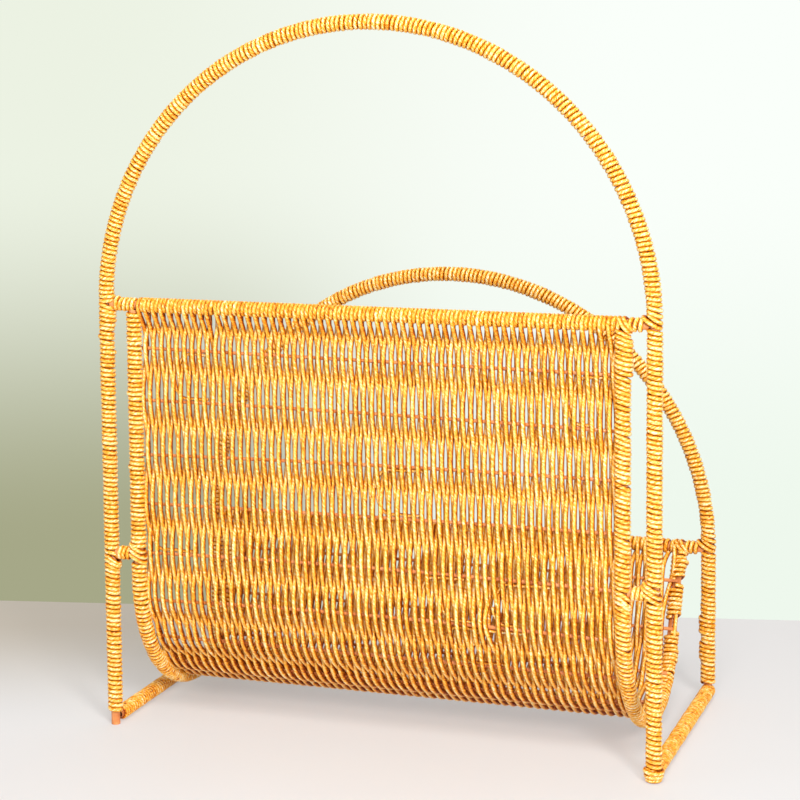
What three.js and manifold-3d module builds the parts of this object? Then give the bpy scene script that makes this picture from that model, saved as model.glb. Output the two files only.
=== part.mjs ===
// A magazine basket: two hoops of steel rod, welded and bound in paper cord, carry a sling woven of the same cord.
// Millimetres, +X to the right, +Y to the back, +Z up. The origin is on the floor, under the middle of the frame.
import * as THREE from "three";
import { mergeVertices } from "three/addons/utils/BufferGeometryUtils.js";
import Module from "manifold-3d";

const wasm = await Module();
wasm.setup();

// Driving dimensions of the frame
const legSpacing = 390; // centre to centre of a hoop's two legs
const hoopSpacing = 182; // front hoop's plane to rear hoop's plane
const frontRodHeight = 302; // floor to the centre of the front top rod, where the front arch springs
const rearRodHeight = 112; // floor to the centre of the rear top rod, where the rear arch springs
const rodDiameter = 6.4; // painted steel rod of every frame member
const bindingThickness = 2.4; // one layer of cord wound tightly on a rod
const weldGap = 0.3; // room between two pieces that meet
const jointBare = 2; // steel left bare between two bindings where members join
const turnPitch = 3.2; // from one turn of a binding to the next
const turnDepth = 0.8; // from the crest of a turn to the groove beside it

// Side rails and the short stubs that tie them to the front legs
const railInset = 21; // leg centre to rail centre
const railLift = 13; // floor to a rail's centre at its lowest point
const frontBendRadius = 96; // centreline radius of a rail from its upright to its lowest point
const rearBendRadius = 60; // centreline radius of a rail from its lowest point to its slanted end
const stubHeight = 125; // floor to the centre of the stubs
const bindingFootLift = 1; // floor to the cord on the front leg that is bound to its end

// Sling
const wireDiameter = 2.5;
const wireSpacing = 35.1; // along a rail, from the front top rod
const lastWireShare = 0.6; // of the wire spacing, the least left between the last wire and the rear top rod
const wireLap = 1.5; // how far a wire runs past a rail's centre
const strandDiameter = 2.9;
const strandPairPitch = 5.75;
const slingSideGap = 0.6; // least room between the sling's edge and a rail's binding
const slingJoint = 0.3; // parting line between the upright and the round part of the sling
const laceCount = 13; // bundles of strands that the sling is laced from
const slotShare = 0.35; // of the way from one lace to the next, left open at the wires
const bandShare = 0.3; // of the wire spacing, where the laces lie side by side

// Fineness of round shapes
const rodSides = 8;
const bindingSides = 12;
const turnSides = 8;
const notchSides = 4;
const turnsPerStep = 5;
const rearArchSteps = 22;
const cutterOverrun = 5; // how far a cutting tool reaches past what it cuts

// Places worked out from the driving dimensions
const rodRadius = rodDiameter / 2;
const bindingRadius = rodRadius + bindingThickness;
const wireRadius = wireDiameter / 2;
const hoopRadius = legSpacing / 2;
const frontPlane = -hoopSpacing / 2;
const rearPlane = hoopSpacing / 2;
const railOffset = hoopRadius - railInset;
const barHeight = bindingRadius;
const strandPairs = Math.floor((2 * (railOffset - bindingRadius - slingSideGap)) / strandPairPitch);
const slingWidth = strandPairs * strandPairPitch;
const slingInset = rodRadius + weldGap + wireRadius; // from a rail's centreline to the wires on its inner side
const rodSeat = rodRadius + weldGap; // from a rod's centreline to the face of a piece that meets it
const bindingSeat = bindingRadius + weldGap;
const slantShare = 1 / Math.cos(Math.PI / rodSides); // corner to flat of a rod's section
const archLean = bindingRadius * Math.tan(Math.PI / (2 * rearArchSteps)); // of an arch's foot, beside a top rod
const frontArchSteps = Math.round((Math.PI * hoopRadius) / (turnsPerStep * turnPitch));

const across = new THREE.Vector3(1, 0, 0);
const back = new THREE.Vector3(0, 1, 0);
const up = new THREE.Vector3(0, 0, 1);
const left = across.clone().negate();

const cordMaterial = new THREE.MeshStandardMaterial({ color: 0xe0a040, roughness: 0.55, metalness: 0 });
const paintMaterial = new THREE.MeshStandardMaterial({ color: 0xb5673c, roughness: 0.45, metalness: 0.2 });

// A route holds stations, the places where a swept section is drawn.
class Route extends THREE.Curve {
  constructor(start, heading) {
    super();
    this.stations = [{ point: start.clone(), heading: heading.clone() }];
  }

  get end() {
    return this.stations[this.stations.length - 1];
  }

  run(length) {
    const { point, heading } = this.end;
    this.stations.push({ point: point.clone().addScaledVector(heading, length), heading: heading.clone() });
    return this;
  }

  bend(inward, radius, angle, steps) {
    const { point, heading } = this.end;
    const centre = point.clone().addScaledVector(inward, radius);
    for (let step = 1; step <= steps; step++) {
      const turned = (angle * step) / steps;
      this.stations.push({
        point: centre
          .clone()
          .addScaledVector(inward, -radius * Math.cos(turned))
          .addScaledVector(heading, radius * Math.sin(turned)),
        heading: heading.clone().multiplyScalar(Math.cos(turned)).addScaledVector(inward, Math.sin(turned)),
      });
    }
    return this;
  }

  between(t, field, target) {
    const place = Math.min(t, 1) * (this.stations.length - 1);
    const index = Math.min(Math.floor(place), this.stations.length - 2);
    return target.lerpVectors(this.stations[index][field], this.stations[index + 1][field], place - index);
  }

  getPoint(t, target = new THREE.Vector3()) {
    return this.between(t, "point", target);
  }

  getTangent(t, target = new THREE.Vector3()) {
    return this.between(t, "heading", target).normalize();
  }

  // Sections stand at the stations, not at even lengths.
  getUtoTmapping(u) {
    return u;
  }
}

// A polygon whose flats lie at the radius, with flats on both section axes.
function ring(radius, sides) {
  const corner = radius / Math.cos(Math.PI / sides);
  return Array.from({ length: sides }, (_, side) => {
    const angle = ((side + 0.5) * 2 * Math.PI) / sides;
    return new THREE.Vector2(corner * Math.cos(angle), corner * Math.sin(angle));
  });
}

function sweep(shape, route) {
  return new THREE.ExtrudeGeometry(shape, { extrudePath: route, steps: route.stations.length - 1 });
}

function rod(route, radius = rodRadius, count = rodSides) {
  return sweep(new THREE.Shape(ring(radius, count)), route);
}

// A layer of wound cord on a rod: a sleeve with room for the rod.
function binding(route) {
  const shape = new THREE.Shape(ring(bindingRadius, bindingSides));
  shape.holes.push(new THREE.Path(ring(rodSeat, rodSides)));
  return sweep(shape, route);
}

function straight(start, heading, length) {
  return new Route(start, heading).run(length);
}

function toSolid(geometry) {
  const bare = geometry.clone();
  bare.deleteAttribute("normal");
  bare.deleteAttribute("uv");
  const merged = mergeVertices(bare);
  return new wasm.Manifold(
    new wasm.Mesh({
      numProp: 3,
      vertProperties: new Float32Array(merged.attributes.position.array),
      triVerts: new Uint32Array(merged.index.array),
    }),
  );
}

function toGeometry(solid) {
  const { vertProperties, triVerts } = solid.getMesh();
  const geometry = new THREE.BufferGeometry();
  geometry.setAttribute("position", new THREE.BufferAttribute(vertProperties, 3));
  geometry.setIndex(new THREE.BufferAttribute(triVerts, 1));
  geometry.computeVertexNormals();
  return geometry;
}

function cut(geometry, tools) {
  return toGeometry(tools.reduce((solid, tool) => solid.subtract(toSolid(tool)), toSolid(geometry)));
}

const basket = new THREE.Group();

function add(name, geometry, material) {
  const mesh = new THREE.Mesh(geometry, material);
  mesh.name = name;
  basket.add(mesh);
}

const sides = [
  { name: "left", side: -1, outward: left },
  { name: "right", side: 1, outward: across },
];

const frontHoop = {
  name: "front",
  plane: frontPlane,
  springHeight: frontRodHeight,
  foot: 0,
  steps: frontArchSteps,
  wind: turns,
};
const rearHoop = {
  name: "rear",
  plane: rearPlane,
  springHeight: rearRodHeight,
  foot: barHeight + rodSeat,
  steps: rearArchSteps,
  wind: binding,
};
const hoops = [frontHoop, rearHoop];

// A closed surface is gathered from strips of triangles between two rows of points.
class Skin {
  positions = [];

  // Rows run the same way. The one whose next point comes first, by its share along the row, steps on.
  strip(near, far) {
    let a = 0;
    let b = 0;
    while (a < near.length - 1 || b < far.length - 1) {
      const nearNext = a < near.length - 1 ? near[a + 1].share : Infinity;
      const farNext = b < far.length - 1 ? far[b + 1].share : Infinity;
      const [first, second] = [near[a], far[b]];
      const third = nearNext <= farNext ? near[++a] : far[++b];
      this.positions.push(...first.point.toArray(), ...third.point.toArray(), ...second.point.toArray());
    }
  }

  geometry() {
    const geometry = new THREE.BufferGeometry();
    geometry.setAttribute("position", new THREE.Float32BufferAttribute(this.positions, 3));
    geometry.computeVertexNormals();
    return geometry;
  }
}

// A closed ring of points round a station of a route that lies in an upright plane across the frame.
function stationRing({ point, heading }, radius, count) {
  const outward = heading.clone().cross(back);
  const corners = ring(radius, count);
  return [...corners, corners[0]].map((corner, index) => ({
    share: index,
    point: point.clone().addScaledVector(outward, corner.x).addScaledVector(back, corner.y),
  }));
}

// The turns of a binding on an arch, with a groove between each two turns and room for the rod.
function turns({ stations }) {
  const skin = new Skin();
  const route = new Route(stations[0].point, stations[0].heading);
  const steps = stations.length - 1;
  route.bend(across, hoopRadius, Math.PI, 2 * turnsPerStep * steps);
  const outer = route.stations.map((station, index) =>
    stationRing(station, index % 2 === 1 ? bindingRadius : bindingRadius - turnDepth, turnSides),
  );
  const bore = stations.map((station) => stationRing(station, rodSeat, turnSides));
  outer.slice(1).forEach((turn, index) => skin.strip(turn, outer[index]));
  bore.slice(1).forEach((next, index) => skin.strip(bore[index], next));
  skin.strip(outer[0], bore[0]);
  skin.strip(bore[steps], outer[outer.length - 1]);
  return skin.geometry();
}

// Hoops, with a top rod that joins the two legs where the arch springs
function archRoute({ plane, springHeight, steps }, foot = springHeight) {
  const route = new Route(new THREE.Vector3(-hoopRadius, plane, foot), up);
  if (foot < springHeight) {
    route.run(springHeight - foot);
  }
  route.bend(across, hoopRadius, Math.PI, steps);
  return foot < springHeight ? route.run(springHeight - foot) : route;
}

const topRodHalf = hoopRadius - rodSeat;

function topRodRoom({ plane, springHeight }, radius) {
  return rod(straight(new THREE.Vector3(-hoopRadius, plane, springHeight), across, legSpacing), radius);
}

for (const hoop of hoops) {
  const { name, plane, springHeight, foot, wind } = hoop;
  add(`${name}_hoop_rod`, rod(archRoute(hoop, foot)), paintMaterial);
  const start = new THREE.Vector3(-topRodHalf, plane, springHeight);
  add(`${name}_top_rod`, rod(straight(start, across, 2 * topRodHalf)), paintMaterial);
  add(`${name}_arch_binding`, cut(wind(archRoute(hoop)), [topRodRoom(hoop, rodSeat)]), cordMaterial);
}

// Stubs from the front legs to the rails
function stubRoute(side, outward, inset) {
  const start = new THREE.Vector3(side * (railOffset + inset), frontPlane, stubHeight);
  return straight(start, outward, railInset - 2 * inset);
}

function stubRoom(side, outward) {
  return rod(stubRoute(side, outward, 0), rodSeat);
}

// Base bars butt against the front legs, and the rear legs stand on their rear ends
function barRoute(side, start, end) {
  return straight(new THREE.Vector3(side * hoopRadius, start, barHeight), back, end - start);
}

function legRoute(side, plane, foot, top) {
  return straight(new THREE.Vector3(side * hoopRadius, plane, foot), up, top - foot);
}

const barFront = frontPlane + rodSeat;
const footLifts = { left: barHeight + rodSeat, right: bindingFootLift };

for (const { name, side, outward } of sides) {
  add(`${name}_base_bar`, rod(barRoute(side, barFront, rearPlane + rodRadius)), paintMaterial);
  add(`${name}_rail_stub`, rod(stubRoute(side, outward, rodSeat)), paintMaterial);
  add(`${name}_stub_binding`, binding(stubRoute(side, outward, bindingSeat)), cordMaterial);

  const barBinding = binding(barRoute(side, frontPlane + bindingSeat, rearPlane + bindingRadius));
  const rearLegRoom = rod(legRoute(side, rearPlane, barHeight, rearRodHeight), rodSeat);
  add(`${name}_base_bar_binding`, cut(barBinding, [rearLegRoom]), cordMaterial);

  const frontLeg = binding(legRoute(side, frontPlane, footLifts[name], frontRodHeight - jointBare));
  const barRoom = rod(barRoute(side, frontPlane, rearPlane), rodSeat);
  add(
    `${name}_front_leg_binding`,
    cut(frontLeg, [topRodRoom(frontHoop, rodSeat), stubRoom(side, outward), barRoom]),
    cordMaterial,
  );

  const rearLeg = binding(legRoute(side, rearPlane, barHeight + bindingSeat, rearRodHeight - jointBare));
  add(`${name}_rear_leg_binding`, cut(rearLeg, [topRodRoom(rearHoop, rodSeat)]), cordMaterial);
}

// A rail's centreline, by its length from the front top rod: down, round the bottom, and up a slant that aims at
// the rear top rod.
const uprightLength = frontRodHeight - railLift - frontBendRadius;
const frontBendLength = (frontBendRadius * Math.PI) / 2;
const rearReach = hoopSpacing - frontBendRadius; // lowest point to rear top rod, level
const rearRise = rearRodHeight - railLift - rearBendRadius; // rear bend's centre to rear top rod
const rearSpan = Math.hypot(rearReach, rearRise);
const slantLength = Math.sqrt(rearSpan ** 2 - rearBendRadius ** 2);
const rearTurn = Math.PI / 2 + Math.atan2(rearRise, rearReach) - Math.acos(rearBendRadius / rearSpan);
const rearBendLength = rearBendRadius * rearTurn;
const slantStart = uprightLength + frontBendLength + rearBendLength;
const railLength = slantStart + slantLength;

function railPlace(length) {
  if (length <= uprightLength) {
    return { y: frontPlane, z: frontRodHeight - length, turn: 0 };
  }
  if (length <= uprightLength + frontBendLength) {
    const turn = (length - uprightLength) / frontBendRadius;
    return {
      y: frontPlane + frontBendRadius * (1 - Math.cos(turn)),
      z: railLift + frontBendRadius * (1 - Math.sin(turn)),
      turn,
    };
  }
  const turn = Math.PI / 2 + Math.min((length - uprightLength - frontBendLength) / rearBendRadius, rearTurn);
  const past = Math.max(length - slantStart, 0);
  return {
    y: frontPlane + frontBendRadius - rearBendRadius * Math.cos(turn) + past * Math.sin(turn),
    z: railLift + rearBendRadius * (1 - Math.sin(turn)) - past * Math.cos(turn),
    turn,
  };
}

// A point off the centreline, towards the inside of the sling.
function insetPoint(x, length, inset) {
  const { y, z, turn } = railPlace(length);
  return new THREE.Vector3(x, y + inset * Math.cos(turn), z + inset * Math.sin(turn));
}

// Lengths at each half of the wire spacing, so that a section stands at every wire and at every crossing.
function halfSpacings(from, to) {
  const first = Math.floor((2 * from) / wireSpacing) + 1;
  const last = Math.ceil((2 * to) / wireSpacing) - 1;
  const halves = Array.from({ length: last - first + 1 }, (_, index) => ((first + index) * wireSpacing) / 2);
  return [from, ...halves, to];
}

function railRoute(side, from, to) {
  const x = side * railOffset;
  const lengths = [from, ...halfSpacings(uprightLength, slantStart), to];
  const route = new Route(insetPoint(x, from, 0), new THREE.Vector3(0, 0, -1));
  route.stations = lengths.map((length) => {
    const { turn } = railPlace(length);
    const heading = new THREE.Vector3(0, Math.sin(turn), -Math.cos(turn));
    return { point: insetPoint(x, length, 0), heading };
  });
  return route;
}

// Wires lie on the inner side of the rails, evenly spaced from the front top rod
const wireCount = Math.floor(railLength / wireSpacing - lastWireShare);
const wireHalf = railOffset + wireLap;
const wirePlaces = Array.from({ length: wireCount }, (_, index) =>
  insetPoint(-wireHalf, (index + 1) * wireSpacing, slingInset),
);

wirePlaces.forEach((place, index) => {
  const wire = rod(straight(place, across, 2 * wireHalf), wireRadius);
  add(`sling_wire_${String(index + 1).padStart(2, "0")}`, wire, paintMaterial);
});

const slantEnd = railLength - bindingRadius * slantShare - weldGap; // where cord meets the rear top rod's cord
const wireNotches = wirePlaces.map((place) => {
  const start = place.clone().addScaledVector(left, cutterOverrun);
  return rod(straight(start, across, 2 * (wireHalf + cutterOverrun)), wireRadius + weldGap, notchSides);
});

for (const { name, side, outward } of sides) {
  const rail = rod(railRoute(side, rodSeat, railLength - rodRadius * slantShare - weldGap));
  add(`${name}_side_rail`, rail, paintMaterial);
  const sleeve = binding(railRoute(side, bindingSeat, slantEnd));
  add(`${name}_rail_binding`, cut(sleeve, [...wireNotches, stubRoom(side, outward)]), cordMaterial);
}

// Bindings of the top rods: a short one from each leg to the rail, and the turns of the sling's own strands between
const railRooms = sides.map(({ side }) => rod(railRoute(side, 0, railLength), rodSeat));
const endBindingInner = railOffset + rodSeat;
const headHalf = endBindingInner - jointBare;

for (const { name: hoopName, plane, springHeight } of hoops) {
  const head = binding(straight(new THREE.Vector3(-headHalf, plane, springHeight), across, 2 * headHalf));
  add(`${hoopName}_sling_head`, cut(head, railRooms), cordMaterial);
  for (const { name, side, outward } of sides) {
    const start = new THREE.Vector3(side * endBindingInner, plane, springHeight);
    const end = straight(start, outward, hoopRadius - bindingSeat - archLean - endBindingInner);
    add(`${name}_${hoopName}_rod_end_binding`, binding(end), cordMaterial);
  }
}

// The sling is laced: each lace passes one wire on the outer side and the next on the inner side, its neighbours the
// other way round. Between two wires they lie side by side in a band, and at the wires slots stay open.
const strandRadius = strandDiameter / 2;
const laceSwing = (wireRadius + weldGap) * slantShare + strandRadius; // from a wire's centre to a lace's middle
const lacePitch = slingWidth / (laceCount - slotShare);
const laces = Array.from({ length: laceCount }, (_, index) => {
  const start = index * lacePitch - slingWidth / 2;
  return { index, start, end: start + lacePitch * (1 - slotShare) };
});
const slotHalf = ((1 - bandShare) * wireSpacing) / 2;

// Points across the sling at one length, on the face that lies at the given depth from its middle
function slingRow(places, length, depth) {
  return places.map((x) => ({ share: x, point: insetPoint(x, length, slingInset + depth) }));
}

function facePair(places, length, depth = 0) {
  return [depth - strandRadius, depth + strandRadius].map((face) => slingRow(places, length, face));
}

function band(skin, from, to) {
  const edges = laces.flatMap(({ start, end }) => [start, end]);
  const [outerFrom, innerFrom] = facePair(edges, from);
  const [outerTo, innerTo] = facePair(edges, to);
  skin.strip(outerTo, outerFrom);
  skin.strip(innerFrom, innerTo);
  for (const side of [0, edges.length - 1]) {
    const [first, second] = [
      [outerFrom, outerTo],
      [innerFrom, innerTo],
    ].map((rows) => rows.map((row, index) => ({ share: index, point: row[side].point })));
    skin.strip(...(side === 0 ? [second, first] : [first, second]));
  }
}

// Closes a band's end, over the whole width or only across the slots between the laces
function bandEnd(skin, length, spans, facesBack) {
  for (const span of spans) {
    const [outer, inner] = facePair(span, length);
    skin.strip(...(facesBack ? [inner, outer] : [outer, inner]));
  }
}

// A lace's part between two bands, round the wire
function lacePart(skin, { index, start, end }, wireNumber) {
  const away = (index + wireNumber) % 2 === 0 ? -laceSwing : laceSwing;
  const rings = [-1, 0, 1].map((step) => {
    const depth = step === 0 ? away : 0;
    const [outer, inner] = facePair([start, end], wireNumber * wireSpacing + step * slotHalf, depth);
    const corners = [outer[0], outer[1], inner[1], inner[0], outer[0]];
    return corners.map(({ point }, corner) => ({ share: corner, point }));
  });
  rings.slice(1).forEach((ring, step) => skin.strip(ring, rings[step]));
}

function sling(from, to) {
  const skin = new Skin();
  const whole = [laces.flatMap(({ start, end }) => [start, end])];
  const slots = laces.slice(1).map(({ start }, index) => [laces[index].end, start]);
  const firstWire = Math.ceil(from / wireSpacing);
  const lastWire = Math.floor(to / wireSpacing);
  bandEnd(skin, from, whole, false);
  let bandStart = from;
  for (let wireNumber = firstWire; wireNumber <= lastWire; wireNumber++) {
    const bandStop = wireNumber * wireSpacing - slotHalf;
    band(skin, bandStart, bandStop);
    bandEnd(skin, bandStop, slots, true);
    laces.forEach((lace) => lacePart(skin, lace, wireNumber));
    bandStart = wireNumber * wireSpacing + slotHalf;
    bandEnd(skin, bandStart, slots, false);
  }
  band(skin, bandStart, to);
  bandEnd(skin, to, whole, true);
  return skin.geometry();
}

// The upright part ends in the middle of the band that is nearest to the end of the rails' upright.
const partingBand = Math.round(uprightLength / wireSpacing - 1 / 2) + 1 / 2;
const partingLength = partingBand * wireSpacing;
add("front_sling_panel", sling(bindingSeat, partingLength - slingJoint / 2), cordMaterial);
add("sling_cradle", sling(partingLength + slingJoint / 2, slantEnd), cordMaterial);

export default basket;
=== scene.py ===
# A magazine basket of steel rods bound in waxed paper cord, with a sling of the same cord laced over wires.
# Metres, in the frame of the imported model: +X to the right, +Y to the back, +Z up.
import math
import random

import bmesh
import bpy
import numpy as np
from mathutils import Matrix, Vector


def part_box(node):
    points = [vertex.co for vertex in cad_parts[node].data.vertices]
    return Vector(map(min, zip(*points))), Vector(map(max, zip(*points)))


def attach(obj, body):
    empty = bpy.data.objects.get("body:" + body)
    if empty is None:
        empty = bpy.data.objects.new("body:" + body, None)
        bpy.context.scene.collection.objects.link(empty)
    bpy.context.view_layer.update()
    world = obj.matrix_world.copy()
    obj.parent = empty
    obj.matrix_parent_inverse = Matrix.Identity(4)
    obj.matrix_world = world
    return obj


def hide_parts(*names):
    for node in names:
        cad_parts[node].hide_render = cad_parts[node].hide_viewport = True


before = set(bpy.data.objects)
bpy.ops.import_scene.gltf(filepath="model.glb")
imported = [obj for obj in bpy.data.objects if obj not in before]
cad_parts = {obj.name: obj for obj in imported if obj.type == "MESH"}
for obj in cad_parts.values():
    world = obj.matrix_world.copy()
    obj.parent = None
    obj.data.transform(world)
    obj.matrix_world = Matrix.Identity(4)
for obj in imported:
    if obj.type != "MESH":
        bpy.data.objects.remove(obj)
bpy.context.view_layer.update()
MM = 0.001

# The studio: a pale floor that ends where the wall would start, and a pale green wall beyond it. The camera
# looks from the front right, a little above the basket, and soft lamps stand above and beside it.
CAMERA_PLACE = Vector((499.2, -1469.9, 511.7)) * MM
CAMERA_YAW = math.radians(-19.07)
CAMERA_PITCH = math.radians(5.97)
CAMERA_ROLL = math.radians(-0.52)
FOCAL_PIXELS = 2209.3
PICTURE_PIXELS = 800
LENS_AXIS_PIXEL = 230  # row of the picture where the lens axis meets it
SENSOR = 36.0
FAR_CLIP = 20


def view_axes(yaw, pitch, roll):
    """Right, up and forward of a camera that looks along +Y, and stands level, where all three are zero."""
    forward = Vector((math.sin(yaw) * math.cos(pitch), math.cos(yaw) * math.cos(pitch), -math.sin(pitch)))
    right = Vector((math.cos(yaw), -math.sin(yaw), 0))
    upward = right.cross(forward)
    rolled_right = right * math.cos(roll) + upward * math.sin(roll)
    rolled_up = upward * math.cos(roll) - right * math.sin(roll)
    return rolled_right, rolled_up, forward


def add_object(name, data):
    made = bpy.data.objects.new(name, data)
    bpy.context.scene.collection.objects.link(made)
    return made


camera_data = bpy.data.cameras.new("camera")
camera_data.sensor_width = SENSOR
camera_data.lens = FOCAL_PIXELS / PICTURE_PIXELS * SENSOR
camera_data.shift_y = LENS_AXIS_PIXEL / PICTURE_PIXELS - 1 / 2
camera_data.clip_end = FAR_CLIP
camera = add_object("camera", camera_data)
right, upward, forward = view_axes(CAMERA_YAW, CAMERA_PITCH, CAMERA_ROLL)
camera_turn = Matrix((right, upward, -forward)).transposed().to_4x4()
camera.matrix_world = Matrix.Translation(CAMERA_PLACE) @ camera_turn
bpy.context.scene.camera = camera
bpy.context.scene.view_settings.view_transform = "Standard"


class Value:
    """A number, colour or vector in a material. Sums of numbers add Math nodes."""

    def __init__(self, tree, socket=None):
        self.tree = tree
        self.socket = socket

    def node(self, kind, settings, sockets, output=0):
        """Adds a node, sets it up, fills or links its sockets, and gives one of its outputs."""
        made = self.tree.nodes.new(kind)
        for name, setting in settings.items():
            if name == "stops":
                ramp = made.color_ramp
                while len(ramp.elements) < len(setting):
                    ramp.elements.new(1)
                for stop, (place, colour) in zip(ramp.elements, setting):
                    stop.position = place
                    stop.color = colour
            else:
                setattr(made, name, setting)
        for name, value in sockets.items():
            if isinstance(value, Value):
                value.feed(made.inputs[name])
            else:
                made.inputs[name].default_value = value
        return Value(self.tree, made.outputs[output] if made.outputs else None)

    def feed(self, socket):
        self.tree.links.new(self.socket, socket)

    def maths(self, operation, *others):
        return self.node("ShaderNodeMath", {"operation": operation}, dict(enumerate((self, *others))))

    def __add__(self, other):
        return self.maths("ADD", other)

    def __mul__(self, other):
        return self.maths("MULTIPLY", other)

    def __truediv__(self, other):
        return self.maths("DIVIDE", other)

    def __sub__(self, other):
        return self.maths("SUBTRACT", other)

    def __rsub__(self, other):
        return self.node("ShaderNodeMath", {"operation": "SUBTRACT"}, {0: other, 1: self})

    __radd__ = __add__
    __rmul__ = __mul__

    def between(self, low, high):
        """0 where the value is low and 1 where it is high, smoothly."""
        sockets = {"Value": self, "From Min": low, "From Max": high}
        return self.node("ShaderNodeMapRange", {"interpolation_type": "SMOOTHSTEP"}, sockets)

    def along(self, direction):
        """How far a place lies along a direction."""
        sockets = {0: self, 1: tuple(direction)}
        return self.node("ShaderNodeVectorMath", {"operation": "DOT_PRODUCT"}, sockets, output="Value")

    def mix(self, first, second):
        """From the first colour, where the value is 0, to the second, where it is 1."""
        return self.node("ShaderNodeMix", {"data_type": "RGBA"}, {0: self, 6: first, 7: second}, output=2)

    def seen_plainly(self):
        """1 for a ray from the camera, or by a mirror or glass, and 0 for the soft light of the scene."""
        straight_on, glossy, through = [
            self.node("ShaderNodeLightPath", {}, {}, output=name)
            for name in ("Is Camera Ray", "Is Glossy Ray", "Is Transmission Ray")
        ]
        return straight_on.maths("MAXIMUM", glossy).maths("MAXIMUM", through)


def new_material(name):
    """A material, its one shader, and a first value to build on."""
    made = bpy.data.materials.new(name)
    made.use_nodes = True
    return made, made.node_tree.nodes["Principled BSDF"], Value(made.node_tree)


def shade(red, green, blue):
    """The linear colour of a colour given as it shows on a screen, from 0 to 255."""
    return tuple(((part / 255 + 0.055) / 1.055) ** 2.4 for part in (red, green, blue)) + (1,)


# The floor's colour darkens towards the far left and back: painted shade. Faint random clouds of the same
# darker colour lie over it.
FLOOR_COLOUR = shade(233, 231, 230)
FLOOR_PAINTED_SHADE = shade(199, 190, 177)
FLOOR_PAINTED_SHADE_ACROSS = (0.02, -0.20)  # painted shade: from where the floor starts to darken, to the left, to where it is darkest
FLOOR_PAINTED_SHADE_FROM = -0.05  # and from here to the far edge
FLOOR_CLOUDS = 0.05
FLOOR_GLOW_SHARE = 0.5
FLOOR_BEHIND = 0.355  # from the basket's front to the floor's far edge, along the camera's heading
FLOOR_SKEW = 0.124  # the far edge comes nearer to the right
FLOOR_REACH = 3.0
FLOOR_HALF_WIDTH = 3.0
FLOOR_DROP = 0.0002

away = Vector((forward.x, forward.y, 0)).normalized()
sideways = Vector((away.y, -away.x, 0))
far_edge = Vector((0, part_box("front_hoop_rod")[0].y, -FLOOR_DROP)) + away * FLOOR_BEHIND

floor_material, floor_shader, value = new_material("floor")
place = value.node("ShaderNodeTexCoord", {}, {}, output="Object")
# painted shade towards the far left and back, and faint random clouds
painted_shade_across = place.along(sideways).between(*FLOOR_PAINTED_SHADE_ACROSS)
painted_shade_and_clouds = painted_shade_across * place.along(away).between(FLOOR_PAINTED_SHADE_FROM, far_edge.dot(away))
cloudy = value.node("ShaderNodeTexNoise", {}, {"Vector": place, "Scale": 3.0, "Detail": 3.0})
painted_shade_and_clouds = painted_shade_and_clouds + cloudy.between(0.4, 0.7) * FLOOR_CLOUDS
tone = painted_shade_and_clouds.mix(FLOOR_COLOUR, FLOOR_PAINTED_SHADE)
tone.feed(floor_shader.inputs["Base Color"])
floor_shader.inputs["Roughness"].default_value = 0.6
floor_shader.inputs["Specular IOR Level"].default_value = 0.2
glow = value.node("ShaderNodeEmission", {}, {"Color": tone})
lit = Value(value.tree, floor_shader.outputs[0])
share = value.seen_plainly() * FLOOR_GLOW_SHARE
surface = value.node("ShaderNodeMixShader", {}, {0: share, 1: lit, 2: glow})
surface.feed(floor_material.node_tree.nodes["Material Output"].inputs["Surface"])

floor_corners = [
    far_edge + sideways * across - away * (toward + across * FLOOR_SKEW)
    for across, toward in (
        (-FLOOR_HALF_WIDTH, FLOOR_REACH),
        (FLOOR_HALF_WIDTH, FLOOR_REACH),
        (FLOOR_HALF_WIDTH, 0),
        (-FLOOR_HALF_WIDTH, 0),
    )
]
shape = bmesh.new()
shape.faces.new([shape.verts.new(corner) for corner in floor_corners])
floor_mesh = bpy.data.meshes.new("floor")
shape.to_mesh(floor_mesh)
shape.free()
floor_mesh.materials.append(floor_material)
add_object("floor", floor_mesh)

# The wall is the world's colour for camera rays: lighter to the upper right and darker low on the left, which
# is painted light and shade.
WALL_TOP_LEFT = shade(236, 242, 227)
WALL_TOP_RIGHT = shade(250, 255, 250)
WALL_LOW_LEFT = shade(166, 168, 136)
WALL_LOW_RIGHT = shade(238, 248, 237)
WALL_TOP_SPAN = (-0.16, 0.12)  # from left to right, as parts of a direction's length
WALL_LOW_SPAN = (-0.10, 0.04)
WALL_FALL = (-0.07, -0.24)  # from the wall's upper tones to its lower ones
SOFT_LIGHT = (1.0, 0.99, 0.97, 1)
SOFT_STRENGTH = 0.3

world = bpy.data.worlds.new("studio")
world.use_nodes = True
world.node_tree.nodes.clear()
bpy.context.scene.world = world
value = Value(world.node_tree)
direction = value.node("ShaderNodeTexCoord", {}, {}, output="Generated")
across = direction.along(sideways)
wall_top = across.between(*WALL_TOP_SPAN).mix(WALL_TOP_LEFT, WALL_TOP_RIGHT)
wall_low = across.between(*WALL_LOW_SPAN).mix(WALL_LOW_LEFT, WALL_LOW_RIGHT)
wall = direction.along((0, 0, 1)).between(*WALL_FALL).mix(wall_top, wall_low)
backdrop = value.node("ShaderNodeBackground", {}, {"Color": wall, "Strength": 1.0})
soft = value.node("ShaderNodeBackground", {}, {"Color": SOFT_LIGHT, "Strength": SOFT_STRENGTH})
shown = value.node("ShaderNodeMixShader", {}, {0: value.seen_plainly(), 1: soft, 2: backdrop})
value.node("ShaderNodeOutputWorld", {}, {"Surface": shown})

AIM = Vector((0, 0, 0.22))
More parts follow.
